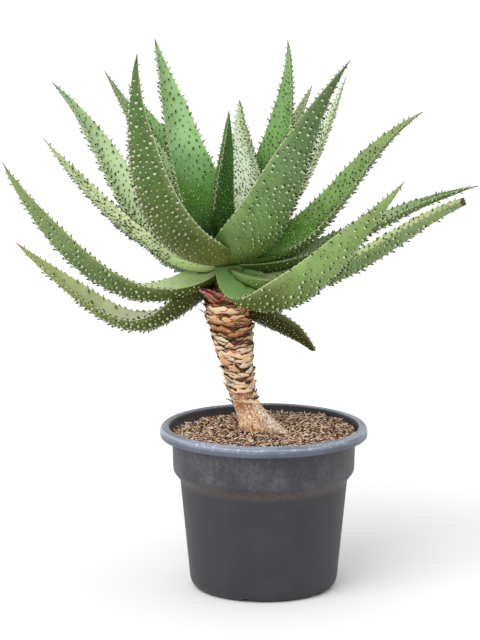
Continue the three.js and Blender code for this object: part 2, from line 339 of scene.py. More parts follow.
soil_mix, tree, shader, place = new_material("bark_and_fibre_mix")
crumbs = add(tree, "ShaderNodeTexVoronoi", {"Vector": place, "Scale": 330}).outputs["Color"]
crumb = add(tree, "ShaderNodeSeparateColor", {0: crumbs}).outputs[0]
fleck = cloud(place, 500, 4, 0.7)
ground = mixed(crumb, "#2a1b12", "#7e5e40")
ground = coated(ground, "#b79772", fleck, 0.55, 0.7)
ground = coated(ground, "#2b1d14", fleck, 0.44, 0.3)
feed(shader, {"Base Color": ground, "Roughness": 0.95,
              "Normal": relief(times(crumb, fleck, "ADD"), 0.0015)})


def soil_height(x, y):
    """The height of the soil's surface at a place."""
    radius = math.hypot(x, y)
    fall = max(radius - SOIL_FLAT_RADIUS, 0) / (SOIL_RADIUS - SOIL_FLAT_RADIUS)
    lumps = noise.noise(Vector((x, y, 0)) / LUMP_SPAN)
    lumps += CRUMB_SHARE * noise.noise(Vector((x, y, 50)) / CRUMB_SPAN)
    sunk = SOIL_LOW_DROP * max(SOIL_LOW_SIDE[0] * x + SOIL_LOW_SIDE[1] * y, 0) / SOIL_RADIUS
    return SOIL_TOP - SOIL_EDGE_DROP * fall - sunk + SOIL_LUMP * lumps


def carry(mesh, label, values):
    """Stores a number, or a vector, at each point of a mesh."""
    values = np.asarray(values, np.float32)
    kind, key = ("FLOAT", "value") if values.ndim == 1 else ("FLOAT_VECTOR", "vector")
    mesh.attributes.new(label, kind, "POINT").data.foreach_set(key, values.ravel())


soil_outline = [
    (0, FLOOR_Z + 0.3),
    (BASE_RADIUS - SOIL_GAP, FLOOR_Z + 0.3),
    (BODY_FOOT[0] - WALL - SOIL_GAP, BODY_FOOT[1] + 1),
    (SHOULDER_FOOT[0] - WALL - SOIL_GAP, SHOULDER_FOOT[1]),
    (COLLAR_FOOT[0] - WALL - SOIL_GAP, COLLAR_FOOT[1]),
    (SOIL_RADIUS, SOIL_SIDE_TOP),
    *[(r, SOIL_TOP) for r in np.linspace(SOIL_RADIUS, 0, SOIL_RINGS)],
]
points, faces = spun(soil_outline, SOIL_SIDES)
on_top = points[:, 2] > SOIL_SIDE_TOP
for i in np.flatnonzero(on_top):
    points[i, 2] = soil_height(points[i, 0], points[i, 1])
soil = new_piece("soil_surface", points, faces, soil_mix)
carry(soil.data, "open_top", on_top)
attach(soil, "root")
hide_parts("soil")


def new_tree(name, sockets):
    """A Geometry Nodes tree with a mesh in, a mesh out and the given named inputs."""
    tree = bpy.data.node_groups.new(name, "GeometryNodeTree")
    tree.interface.new_socket("Geometry", in_out="INPUT", socket_type="NodeSocketGeometry")
    for label, kind in sockets:
        tree.interface.new_socket(label, in_out="INPUT", socket_type="NodeSocket" + kind)
    tree.interface.new_socket("Geometry", in_out="OUTPUT", socket_type="NodeSocketGeometry")
    return tree, add(tree, "NodeGroupInput").outputs


def close_tree(tree, instances, material):
    """Ends a tree with its instances made real and given their material."""
    real = add(tree, "GeometryNodeRealizeInstances", {0: instances}).outputs[0]
    smooth = add(tree, "GeometryNodeSetShadeSmooth", {0: real}).outputs[0]
    coloured = add(tree, "GeometryNodeSetMaterial", {0: smooth, 2: material}).outputs[0]
    add(tree, "NodeGroupOutput", {0: coloured})


def grown(tree, carrier, values):
    """The plain mesh that a tree makes on a carrier object, which keeps no modifier."""
    modifier = carrier.modifiers.new(tree.name, "NODES")
    modifier.node_group = tree
    for item in tree.interface.items_tree:
        if item.in_out == "INPUT" and item.name in values:
            modifier[item.identifier] = values[item.name]
    graph = bpy.context.evaluated_depsgraph_get()
    mesh = bpy.data.meshes.new_from_object(carrier.evaluated_get(graph))
    carrier.modifiers.remove(modifier)
    return mesh


def gathered(name, meshes, material):
    """Like meshes joined into one named piece that rides with the plant."""
    joined = bmesh.new()
    for mesh in meshes:
        joined.from_mesh(mesh)
    for face in joined.faces:
        face.material_index = 0
    mesh = bpy.data.meshes.new(name)
    joined.to_mesh(mesh)
    joined.free()
    mesh.materials.append(material)
    piece = placed(name, mesh)
    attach(piece, "root")


def plain_material(name, dark, light, roughness, grain=300):
    """A dull finish that wanders between two near colours."""
    material, _, shader, place = new_material(name)
    share = stepped(cloud(place, grain, 2), 0.3, 0.7)
    feed(shader, {"Base Color": mixed(share, dark, light), "Roughness": roughness})
    return material


def read(tree, label, kind="FLOAT"):
    """A value that the mesh carries at its points, by its name."""
    return add(tree, "GeometryNodeInputNamedAttribute", {"Name": label}, data_type=kind).outputs[0]


def random_in(tree, low, high, seed, kind="FLOAT"):
    """A random number, or vector, for each point."""
    first, drawn = (2, 1) if kind == "FLOAT" else (0, 0)
    sockets = {first: low, first + 1: high, 8: seed}
    return add(tree, "FunctionNodeRandomValue", sockets, data_type=kind).outputs[drawn]


def scattered(tree, given, mesh, density, share):
    """Points over a mesh, no closer than the tree's spacing, and thinned out by a share."""
    sockets = {"Mesh": mesh, "Distance Min": given["Spacing"], "Density Max": density,
               "Density Factor": share, "Seed": given["Seed"]}
    return add(tree, "GeometryNodeDistributePointsOnFaces", sockets,
               distribute_method="POISSON").outputs


FULL_TURN = 6.2832
CHIP_SMALLEST = (0.35, 0.5, 0.5)
CHIP_LARGEST = (1.9, 1.6, 1.9)
JAG_NOISE = {"Scale": 420.0, "Detail": 1.0}
RAGGEDNESS = 2.2
tree, given = new_tree("Loose chips", [
    ("Spacing", "Float"), ("Chip Size", "Vector"), ("Tilt", "Float"), ("Raggedness", "Float"),
    ("Lift", "Float"), ("Seed", "Int"), ("Material", "Material")])
scatter = scattered(tree, given, given["Geometry"], 1.0e6, read(tree, "open_top"))
tilt = given["Tilt"]
leaning = random_in(tree, times(tilt, -1.0), tilt, given["Seed"], "FLOAT_VECTOR")
turning = random_in(tree, (0, 0, 0), (0, 0, FULL_TURN), 7, "FLOAT_VECTOR")
varied = random_in(tree, CHIP_SMALLEST, CHIP_LARGEST, 3, "FLOAT_VECTOR")
turned = add(tree, "FunctionNodeEulerToRotation", {0: vectors(leaning, turning)}).outputs[0]
flake = add(tree, "GeometryNodeMeshIcoSphere", {"Radius": 0.5, "Subdivisions": 1}).outputs[0]
strewn = add(tree, "GeometryNodeInstanceOnPoints",
             {"Points": scatter["Points"], "Instance": flake, "Rotation": turned,
              "Scale": vectors(given["Chip Size"], varied, "MULTIPLY")}).outputs[0]
real = add(tree, "GeometryNodeRealizeInstances", {0: strewn}).outputs[0]
wild = add(tree, "ShaderNodeTexNoise", JAG_NOISE).outputs["Color"]
jag = vectors(wild, (0.5, 0.5, 0.5), "SUBTRACT")
raised = add(tree, "ShaderNodeCombineXYZ", {"Z": given["Lift"]}).outputs[0]
moved = vectors(vectors(jag, given["Raggedness"], "SCALE"), raised)
ragged = add(tree, "GeometryNodeSetPosition", {"Geometry": real, "Offset": moved}).outputs[0]
close_tree(tree, ragged, given["Material"])

# Each kind's name, two colours, spacing, size, tilt, lift and seed, in millimetres and radians.
CHIPS = [
    ("bark_chips_brown", "#5c3d28", "#a07650", 5.4, (12, 4.6, 2.4), 0.5, 0.7, 11),
    ("bark_chips_dark", "#170e0a", "#35231a", 6.8, (10, 5.0, 2.8), 0.7, 1.4, 23),
    ("bark_chips_tan", "#a87f5c", "#d8b48c", 7.4, (11, 3.2, 1.8), 0.6, 2.0, 37),
    ("bark_chips_red", "#6e3c29", "#995c42", 9.5, (10, 4.0, 2.2), 0.6, 2.1, 53),
    ("wood_fibres", "#dfc4a2", "#fbeedb", 8.6, (16, 1.7, 1.4), 0.5, 2.9, 41),
]
for name, dark, light, spacing, size, tilt, lift, seed in CHIPS:
    finish = plain_material(name, dark, light, 0.9)
    mesh = grown(tree, soil, {
        "Spacing": spacing * MM, "Chip Size": [s * MM for s in size], "Tilt": tilt,
        "Raggedness": RAGGEDNESS * MM, "Lift": lift * MM, "Seed": seed, "Material": finish})
    gathered(name, [mesh], finish)


# The stem leans to the left out of a flared foot. Its lower part is bare, cracked, corky bark
# with a root buttress in front, and above that it is wrapped in the dry stubs of old leaves.
STEM = np.array([
    # Height, centre x, centre y, width and depth.
    (283, -3, -12, 70, 68),
    (290, -6, -11, 65, 64),
    (300, -12, -10, 59, 58),
    (319, -23, -8, 51, 52),
    (341, -34, -6, 46, 48),
    (365, -41, -5, 44, 44),
    (394, -46, -3, 49, 49),
    (420, -51, -2, 57, 56),
    (451, -55, 0, 65, 64),
    (482, -60, 2, 76, 74),
    (508, -62, 4, 80, 78),
    (530, -63, 5, 68, 68),
    (556, -63, 6, 48, 48),
    (600, -64, 6, 34, 34),
    (638, -64, 6, 14, 14),
])
STEM_SIDES = 180
STEM_RINGS = 260
BUTTRESS_TURN = -40
BUTTRESS_REACH = 36
BUTTRESS_TOP = 366
BUTTRESS_SHARPNESS = 14
BUTTRESS_FALL = 1.8
SMALL_BUTTRESS_TURN = 205
SMALL_BUTTRESS_REACH = 7
RIDGE_SHARPNESS = 7
BARK_TOP = 352
BARK_FADE = 14
NOISE_RADIUS = 22
CRACK_CELL = (6, 7.5)
CRACK_WIDTH = 0.13
CRACK_DEPTH = 1.3
STEM_LUMPS = ((2.4, 17), (1.1, 5))


def stem_ring(z):
    """The stem's centre, and its half width and half depth, at a height."""
    x, y, width, depth = [np.interp(z, STEM[:, 0], STEM[:, k]) for k in range(1, 5)]
    return x, y, width / 2, depth / 2


def toward(angle, bearing, sharpness):
    """From 0 to 1, how near an angle is to a bearing in degrees."""
    return max(math.cos(angle - math.radians(bearing)), 0) ** sharpness


def stem_reach(z, angle):
    """The stem's plain radius at a height and an angle, with its buttress."""
    _, _, a, b = stem_ring(z)
    radius = a * b / math.hypot(b * math.cos(angle), a * math.sin(angle))
    rise = max((BUTTRESS_TOP - z) / (BUTTRESS_TOP - STEM[0, 0]), 0)
    lobes = BUTTRESS_REACH * toward(angle, BUTTRESS_TURN, BUTTRESS_SHARPNESS)
    lobes += SMALL_BUTTRESS_REACH * toward(angle, SMALL_BUTTRESS_TURN, BUTTRESS_SHARPNESS)
    return radius + lobes * rise ** BUTTRESS_FALL


def carried(tree, *labels):
    """The values that a mesh carries under the given names, for its material."""
    return [add(tree, "ShaderNodeAttribute", attribute_name=label).outputs["Fac"]
            for label in labels]


bark, tree, shader, place = new_material("dry_stem_bark")
crack, ridge = carried(tree, "crack", "ridge")
height = add(tree, "ShaderNodeSeparateXYZ", {0: place}).outputs["Z"]
fine = cloud(stretched(place, (330, 330, 110)), 1, 5, 0.7)
fibre = cloud(stretched(place, (420, 420, 45)), 1, 4, 0.6)
patch = cloud(place, 44, 4, 0.6)
shifted = add(tree, "ShaderNodeTexNoise", {"Vector": place, "Scale": 90.0}).outputs["Color"]
shifted = vectors(place, vectors(shifted, 0.009, "SCALE"))
seams = add(tree, "ShaderNodeTexVoronoi",
            {"Vector": stretched(shifted, (190, 190, 110)), "Scale": 1.0},
            feature="DISTANCE_TO_EDGE").outputs["Distance"]
skin = mixed(stepped(patch, 0.36, 0.62), "#c28052", "#f8d0a4")
skin = coated(skin, "#f6e2c4", fine, 0.5, 0.66, 0.0, 0.8)
skin = coated(skin, "#8a5635", fine, 0.46, 0.32, 0.0, 0.8)
grey = mixed(stepped(fibre, 0.4, 0.62), "#c8ac92", "#fdf0e0")
skin = coated(skin, grey, ridge, 0.02, 0.95, 0.0, 0.9)
skin = coated(skin, "#6b3f22", fine, 0.36, 0.6, 0.9, 0.3, stepped(seams, 0.12, 0.03))
skin = coated(skin, "#4f3018", patch, 0.42, 0.54, 0.0, 0.8, stepped(height, 0.298, 0.288))
skin = coated(skin, "#4f2f1a", crack, 0.3, 0.9, 0.0, 0.75)
upper = stepped(height, 0.345, 0.362)
skin = mixed(upper, skin, mixed(stepped(fine, 0.4, 0.7), "#3a2216", "#8a5835"))
skin = coated(skin, "#86a862", height, 0.566, 0.586)
feed(shader, {"Base Color": skin, "Roughness": 0.85,
              "Normal": relief(times(fine, fibre, "ADD"), 0.0012)})

points, cracks, ridges = [], [], []
for z in np.linspace(STEM[0, 0], STEM[-1, 0], STEM_RINGS):
    x0, y0, _, _ = stem_ring(z)
    for i in range(STEM_SIDES):
        angle = i * 2 * math.pi / STEM_SIDES
        spot = Vector((math.cos(angle) * NOISE_RADIUS, math.sin(angle) * NOISE_RADIUS, z))
        cells = noise.voronoi(Vector((spot.x / CRACK_CELL[0], spot.y / CRACK_CELL[0],
                                      spot.z / CRACK_CELL[1])))[0]
        bare = min(max((BARK_TOP - z) / BARK_FADE, 0), 1)
        ridge = toward(angle, BUTTRESS_TURN, RIDGE_SHARPNESS)
        gap = max(0.0, 1 - (cells[1] - cells[0]) / CRACK_WIDTH) * (1 - 0.4 * ridge)
        lumps = sum(size * noise.noise(spot / span) for size, span in STEM_LUMPS)
        reach = stem_reach(z, angle) + lumps - CRACK_DEPTH * gap * bare
        points.append((x0 + reach * math.cos(angle), y0 + reach * math.sin(angle), z))
        cracks.append(gap * bare)
        ridges.append(ridge * bare)


def tube_faces(rings, count):
    """The faces of a tube made of rings of points, with both of its ends closed."""
    last = (rings - 1) * count
    return [*ring_faces(rings, count), tuple(reversed(range(count))),
            tuple(range(last, last + count))]


faces = tube_faces(STEM_RINGS, STEM_SIDES)
stem = new_piece("stem_core", points, faces, bark)
carry(stem.data, "crack", cracks)
carry(stem.data, "ridge", ridges)
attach(stem, "root")
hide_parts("stem")


# Each old leaf has left a dry stub, a thin papery band that clasps the stem. The stubs overlap
# upwards like shingles, with curled, ragged upper edges that have dried dark brown.
STUB_FOOT = 343
STUB_TOP = 552
STUB_STEP = 6.6
STUB_STEPS_AROUND = 44
STUB_THICKNESS = 1.5
STUB_GAP = 0.6
STUBS_PER_STEP = 3
STUB_TURN = 137.5
TURN_WANDER = 30
SHORT_SHARE = 0.28
SHORT_SPAN, LONG_SPAN = (48, 90), (100, 190)
SHORT_FLARE, LONG_FLARE = (3, 6), (1, 3.5)
STUB_TALL = (7, 14)
LEVEL_WANDER = 4
STUB_SEED = 5
STUB_SLOPE = 0.04
# Each wave's size, length in degrees and layer of noise.
STUB_WAVES = ((1.5, 40, 0), (1.1, 14, 5))
WAVE_HEIGHT, WAVE_FLARE = 0.55, 0.9
RAG_LENGTH = 4
RAG_HEIGHT, RAG_FLARE = 2.2, 0.8
DRIFT, DRIFT_LENGTH = 3.4, 34
BAND_END = 0.03


def dry_stub_material(name, pale, warm, dark):
    """Papery leaf base: streaked along its length, scorched along its edges, and darker towards
    each band's foot as painted shade.
    """
    material, tree, shader, place = new_material(name)
    edge, rise = carried(tree, "edge", "rise")
    grain = cloud(stretched(place, (110, 110, 620)), 1, 5, 0.7, 0.6)
    patch = cloud(place, 46, 3, 0.6)
    skin = mixed(stepped(patch, 0.36, 0.64), pale, warm)
    skin = coated(skin, "#fbe9cd", grain, 0.5, 0.66, 0.0, 0.75)
    skin = coated(skin, dark, grain, 0.46, 0.33, 0.0, 0.7)
    # Darker towards each band's foot, where it tucks under the band below: painted shade.
    skin = coated(skin, dark, rise, 0.6, 0.05, 0.0, 0.38)
    burnt = mixed(stepped(patch, 0.42, 0.6), "#38200f", "#94603c")
    scorch = times(edge, stepped(patch, 0.38, 0.6, 1.5, 0.5))
    skin = coated(skin, burnt, scorch, 0.46, 0.76)
    feed(shader, {"Base Color": skin, "Roughness": 0.75, "Normal": relief(grain, 0.0012)})
    return material


STUB_FINISHES = [dry_stub_material(*row) for row in (
    ("stub_cream", "#ffecce", "#fbd4a6", "#cd925c"), ("stub_tan", "#f8c896", "#e4aa72", "#a36a3c"),
    ("stub_rust", "#d2854a", "#b06838", "#5f2f14"), ("stub_wine", "#b8524a", "#e08c7c", "#742e2a"),
    ("stub_burnt", "#6a4029", "#40261a", "#24130c"))]
# Where a point of the band's section lies: its share of the height, its stand-off from the stem
# as a share of the flare, its place through the thickness, and how near it is to an edge.
STUB_SECTION = [
    (0.0, 0.0, 1, 0.3), (0.3, 0.12, 1, 0.0), (0.6, 0.4, 1, 0.0), (0.8, 0.75, 1, 0.3),
    (1.0, 1.0, 1, 1.0), (1.0, 1.0, 0, 1.0), (0.85, 0.8, 0, 0.8), (0.4, 0.2, 0, 0.6),
    (0.0, -0.3, 0, 0.5),
]
# From a share of the stubbed height up: the odds of each finish.
STUB_ODDS = [(0.0, [0.68, 0.3, 0, 0, 0.02]), (0.38, [0.38, 0.44, 0.15, 0, 0.03]),
             (0.6, [0.03, 0.3, 0.52, 0, 0.15])]
# The odd ones out: height, bearing, span, how tall, how flared, and which finish.
ODD_STUBS = [
    (521, 206, 86, 22, 32, 3), (524, 232, 78, 19, 25, 3), (504, 190, 60, 11, 9, 4),
    (490, 198, 50, 10, 8, 4), (438, 285, 90, 11, 3, 1), (428, 305, 80, 10, 3, 0),
    (338, 284, 104, 9, 4, 0), (474, 205, 55, 9, 7, 4), (476, 296, 45, 7, 5, 4),
    (460, 318, 50, 7, 5, 4), (424, 322, 50, 7, 5, 4), (373, 312, 62, 8, 5, 4),
    (352, 338, 45, 11, 10, 4), (344, 322, 40, 8, 9, 4), (362, 215, 45, 7, 5, 4),
    (336, 190, 40, 10, 8, 0), (428, 262, 66, 7, 4, 3), (418, 250, 50, 5, 3, 3),
    (384, 275, 90, 11, 3, 0), (372, 262, 100, 10, 3, 0),
]


def along_band(seed, degrees, length, layer):
    """A smooth random value at a place along a band, out of a layer of noise."""
    return noise.noise(Vector((seed, degrees / length, layer)))


rng = np.random.default_rng(STUB_SEED)
stubs = {finish.name: ([], [], [], []) for finish in STUB_FINISHES}
bands = []
level = STUB_FOOT
turn = 0.0
while level < STUB_TOP:
    share = (level - STUB_FOOT) / (STUB_TOP - STUB_FOOT)
    odds = [mix for lowest, mix in STUB_ODDS if share >= lowest][-1]
    for _ in range(STUBS_PER_STEP):
        turn += STUB_TURN + rng.uniform(-TURN_WANDER, TURN_WANDER)
        short = rng.random() < SHORT_SHARE
        span = rng.uniform(*(SHORT_SPAN if short else LONG_SPAN))
        flare = rng.uniform(*(SHORT_FLARE if short else LONG_FLARE))
        bands.append((level + rng.uniform(-LEVEL_WANDER, LEVEL_WANDER), turn, span,
                      rng.uniform(*STUB_TALL), flare + 2 * share, rng.choice(5, p=odds)))
    level += STUB_STEP
for base, turn, span, tall, flare, pick in bands + ODD_STUBS:
    slope = rng.uniform(-STUB_SLOPE, STUB_SLOPE)
    seed = rng.uniform(0, 900)
    points, faces, edges, rises = stubs[STUB_FINISHES[pick].name]
    start = len(points)
    count = len(STUB_SECTION)
    for k in range(STUB_STEPS_AROUND + 1):
        t = k / STUB_STEPS_AROUND
        angle = math.radians(turn + span * (t - 0.5))
        fade = math.sin(math.pi * min(max(t, 0.02), 0.98)) ** 0.5
        wave = sum(size * along_band(seed, t * span, *rest) for size, *rest in STUB_WAVES)
        rag = along_band(seed, t * span, RAG_LENGTH, 9)
        drift = DRIFT * along_band(seed, t * span, DRIFT_LENGTH, 30)
        for up, off, through, edge in STUB_SECTION:
            z = base + slope * span * (t - 0.5) + tall * fade * up * (1 + WAVE_HEIGHT * wave)
            z += (RAG_HEIGHT * rag if up == 1 else 0) + drift
            x0, y0, _, _ = stem_ring(z)
            reach = stem_reach(z, angle) + STUB_GAP + STUB_THICKNESS * fade * through
            reach += flare * off * fade * (1 + WAVE_FLARE * wave) + RAG_FLARE * rag * off
            points.append((x0 + reach * math.cos(angle), y0 + reach * math.sin(angle), z))
            edges.append(max(edge, 1 - min(t, 1 - t) / BAND_END))
            rises.append(up)
    for a, b, c, d in ring_faces(STUB_STEPS_AROUND + 1, count):
        faces.append((start + a, start + d, start + c, start + b))
    faces.append(tuple(start + i for i in range(count)))
    faces.append(tuple(start + STUB_STEPS_AROUND * count + i for i in reversed(range(count))))
for finish in STUB_FINISHES:
    points, faces, edges, rises = stubs[finish.name]
    piece = new_piece(finish.name + "_bands", points, faces, finish)
    carry(piece.data, "edge", edges)
    carry(piece.data, "rise", rises)
    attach(piece, "root")


# The leaves are thick and fleshy, with a channel along the upper face and a round back. Each
# grows from the stem's crown, and its skin is waxy, paler on the margins, where a horny edge
# carries a painted highlight, and dry at the tip. Its lower face and foot are darker, partly as
# painted shade.
LEAF_STEPS = 84
SECTION_STEPS = 14
LEAF_TAPER = 0.92
LEAF_START_RADIUS = 14
FOOT_THICKNESS = 23
TIP_THICKNESS = 7
THICKNESS_FALL = 0.7
MOST_THICKNESS = 1.9
TIP_HALF_WIDTH = 1.2
FOOT_CHANNEL = 0.12
TIP_CHANNEL = 0.34
UPPER_SHARE = 0.3
FOOT_PINCH = 0.55
PINCH_END = 0.22
TIP_PINCH = 0.42
TIP_PINCH_START = 0.7
MARGIN_ROUNDNESS = 0.7
RIPPLES_ALONG = 9
RIPPLE = 0.03
CURVE_STEPS = 401
HANDLE = 0.36
CREVICE = 0.7
SHARP_ANGLE = 70
# Where nothing grows, as shares across and along a leaf.
BARE_MARGIN = 0.98
BARE_TIP = 0.985
BARE_FACE = 0.34
BARE_BACK = 0.08
BARE_SPINY_BACK = 0.1
# At shares along a leaf: the size of its prickles, and how densely its foot bears pimples.
PRICKLE_GROWTH = ([0.08, 0.36, 0.8, 1], [0.4, 1, 0.9, 0.5])
PIMPLE_DENSITY = ([0.07, 0.08, 0.4, 0.41], [0, 1, 0.3, 0])
# Each leaf's name, skin, bearing, height on the stem, width, how steeply it leaves the stem and
# arrives at its tip, where the tip is, how far apart the prickles are on its face and on its back,
# and what sets it apart.
LEAF_COLUMNS = ("name", "skin", "turn", "level", "width", "leave", "arrive", "tip", "above",
                "below")
LEAF_ROWS = [
    ("heart_dark", "dark", 140, 636, 70, 80, 82, (-62, 50, 850), 6, 6, dict(spiny=1, taper=0.8)),
    ("heart_pale", "speckled", 42, 625, 122, 45, 97, (-43, 110, 863), 5, 6,
     dict(taper=0.78, foot_handle=0.45)),
    ("back_broad", "vivid", 120, 618, 124, 34, 68, (-196, 170, 966), 11, 10,
     dict(taper=0.8, foot_handle=0.44)),
    ("back_right_tall", "deep", 46, 614, 128, 38, 98, (43, 130, 968), 7.5, 8, {}),
    ("back_left_dark", "deep", 114, 606, 124, 32, 50, (-247, 250, 877), 7, 7, {}),
    ("back_right_thin", "olive", 52, 606, 116, 25, 38, (91, 300, 868), 6, 6, dict(spiny=1)),
    ("front_right", "sage", -66, 600, 160, 6, 46, (142, -190, 962), 9, 10, dict(taper=1.04)),
    ("front_left", "shaded", -130, 598, 160, 0, 102, (-215, -190, 973), 9, 9.5,
     dict(cream=1, taper=0.85, tip_handle=0.46)),
    ("back_right_pale", "speckled", 35, 598, 78, 28, 60, (151, 220, 893), 5, 6,
     dict(foot_handle=0.4)),
    ("back_left_slim", "bright", 145, 598, 104, 38, 45, (-290, 240, 901), 7, 7, {}),
    ("left_tall", "light", 162, 584, 138, -10, 38, (-381, 150, 890), 11, 12,
     dict(foot_handle=0.38, roll=-30)),
    ("right_rising", "rising", 18, 594, 120, -4, 26, (285, 120, 840), 9, 9,
     dict(foot_handle=0.42, foot_roll=8, roll=22)),
    ("left_slim", "speckled", 184, 582, 80, 3, 50, (-386, 0, 806), 4.6, 4.6,
     dict(spiny=1, roll=45, prickle_size=1)),
    ("right_far", "far", 12, 580, 96, -6, 10, (383, 80, 712), 9, 8, dict(roll=14)),
    ("left_long", "outer", 186, 580, 122, -40, 62, (-455, -50, 771), 11, 9,
     dict(taper=0.88, foot_handle=0.46, tip_handle=0.48, foot_roll=-15, roll=60, split=True)),
    ("right_cut", "cut", -25, 572, 116, -20, 26, (346, -100, 709), 9, 9.5,
     dict(uncut=0.9, channel=0.5, foot_handle=0.45, roll=20)),
    ("front_drooping", "bowed", -64, 588, 154, -56, 48, (234, -220, 762), 14, 11.5,
     dict(foot_handle=0.5, tip_handle=0.47, roll=-10, pinch_end=0.36, split=True)),
    ("left_drooping", "drooping", 174, 566, 122, -44, 40, (-442, 60, 612), 24, 8.5,
     dict(taper=0.85, foot_handle=0.58, tip_handle=0.68, foot_roll=20, roll=-30, split=True)),
    ("back_upper_left", "vivid", 105, 604, 105, 25, 60, (-151, 340, 790), 9, 9, {}),
    ("back_upper_right", "vivid", 72, 602, 105, 20, 60, (55, 330, 786), 9, 9, {}),
    ("back_low", "bright", 92, 584, 105, -5, 15, (-58, 420, 610), 9, 9, {}),
    ("back_low_left", "outer", 130, 576, 105, -15, 25, (-253, 330, 623), 9, 9, {}),
    ("back_low_right", "outer", 52, 572, 105, -20, 22, (142, 330, 582), 9, 9, {}),
    ("back_drooping", "drooping", 95, 554, 100, -45, 10, (-48, 330, 488), 8, 7, {}),
    ("right_hanging", "hanging", 22, 515, 156, -40, -42, (92, 20, 424), 6, 6,
     dict(spiny=1, taper=0.72, prickle_size=0.6)),
]
LEAVES = [dict(zip(LEAF_COLUMNS, row), **row[-1]) for row in LEAF_ROWS]


def heading(bearing, climb):
    """The unit vector along a bearing that climbs by an angle, both in degrees."""
    bearing, climb = math.radians(bearing), math.radians(climb)
    return np.array([math.cos(climb) * math.cos(bearing), math.cos(climb) * math.sin(bearing),
                     math.sin(climb)])


def midrib(leaf):
    """The four handles of the cubic curve that a leaf's midrib follows."""
    x, y, _, _ = stem_ring(leaf["level"])
    foot = np.array([x, y, leaf["level"]]) + LEAF_START_RADIUS * heading(leaf["turn"], 0)
    tip = np.array(leaf["tip"], float)
    span = np.linalg.norm(tip - foot)
    straight = math.degrees(math.atan2(tip[1] - foot[1], tip[0] - foot[0]))
    leave = heading(leaf["turn"], leaf["leave"]) * span * leaf.get("foot_handle", HANDLE)
    arrive = heading(straight, leaf["arrive"]) * span * leaf.get("tip_handle", HANDLE)
    return np.array([foot, foot + leave, tip - arrive, tip])


def along_curve(handles, shares):
    """Places and unit tangents of a cubic curve at shares of its length."""
    def at(t):
        t = t[:, None]
        weights = [(1 - t) ** 3, 3 * (1 - t) ** 2 * t, 3 * (1 - t) * t ** 2, t ** 3]
        return sum(w * h for w, h in zip(weights, handles))
    t = np.linspace(0, 1, CURVE_STEPS)
    lengths = np.concatenate([[0], np.cumsum(np.linalg.norm(np.diff(at(t), axis=0), axis=1))])
    t = np.interp(shares, lengths / lengths[-1], t)
    slope = at(np.minimum(t + 1e-4, 1)) - at(np.maximum(t - 1e-4, 0))
    return at(t), slope / np.linalg.norm(slope, axis=1)[:, None]


def turned_about(vector, axis, angle):
    """A vector turned about a unit axis."""
    return (vector * math.cos(angle) + np.cross(axis, vector) * math.sin(angle)
            + axis * np.dot(axis, vector) * (1 - math.cos(angle)))


def leaf_frames(leaf):
    """At each step: share, place, tangent, side, up, half width, thickness and channel."""
    shares = np.linspace(0, 1, LEAF_STEPS + 1)
    places, tangents = along_curve(midrib(leaf), shares)
    uncut = leaf.get("uncut", 1)
    frames = []
    for s, place, along in zip(shares, places, tangents):
        side = heading(leaf["turn"] + 90, 0)
        side = side - along * np.dot(side, along)
        side /= np.linalg.norm(side)
        roll = leaf.get("foot_roll", 0) * (1 - s) + leaf.get("roll", 0) * s
        side = turned_about(side, along, math.radians(roll))
        half = leaf["width"] / 2 * (1 - s * uncut) ** leaf.get("taper", LEAF_TAPER)
        ripple = noise.noise(Vector((leaf["turn"], s * RIPPLES_ALONG, leaf["level"])))
        half = max(half, TIP_HALF_WIDTH) * (1 + RIPPLE * ripple)
        half *= 1 - FOOT_PINCH * max(1 - s / leaf.get("pinch_end", PINCH_END), 0) ** 2
        thick = FOOT_THICKNESS + (TIP_THICKNESS - FOOT_THICKNESS) * s ** THICKNESS_FALL
        if uncut == 1:
            half *= 1 - TIP_PINCH * max(s - TIP_PINCH_START, 0) / (1 - TIP_PINCH_START)
            thick = min(thick, MOST_THICKNESS * half)
        channel = FOOT_CHANNEL + (leaf.get("channel", TIP_CHANNEL) - FOOT_CHANNEL) * s
        frames.append((s, place, along, side, np.cross(along, side), half, thick, channel))
    return frames


def leaf_body(frames, swell=0):
    """A leaf's points and faces, and for each point its share across and its face."""
    angles = np.arange(SECTION_STEPS + 1) * math.pi / SECTION_STEPS
    u = np.concatenate([np.cos(angles), -np.cos(angles[1:-1])])
    upper = np.concatenate([np.ones(SECTION_STEPS + 1), np.zeros(SECTION_STEPS - 1)])
    crown = np.maximum(1 - np.abs(u) ** 3, 0) ** MARGIN_ROUNDNESS
    fullness = np.where(upper > 0.5, UPPER_SHARE, UPPER_SHARE - 1) * crown
    rings = []
    for s, place, along, side, up, half, thick, channel in frames:
        half, thick = half + swell, thick + 2 * swell
        rise = 2 * half * channel * u * u + thick * fullness
        rings.append(place + np.outer(u * half, side) + np.outer(rise, up))
    return np.vstack(rings), tube_faces(len(frames), len(u)), np.abs(u), upper


def largest_part(mesh):
    """Drops all but the largest connected part of a mesh."""
    shape = bmesh.new()
    shape.from_mesh(mesh)
    unseen = set(shape.verts)
    parts = []
    while unseen:
        front = [unseen.pop()]
        part = set(front)
        while front:
            front = {e.other_vert(v) for v in front for e in v.link_edges} & unseen
            unseen -= front
            part |= front
        parts.append(part)
    parts.sort(key=len)
    bmesh.ops.delete(shape, geom=[v for part in parts[:-1] for v in part], context="VERTS")
    shape.to_mesh(mesh)
    shape.free()
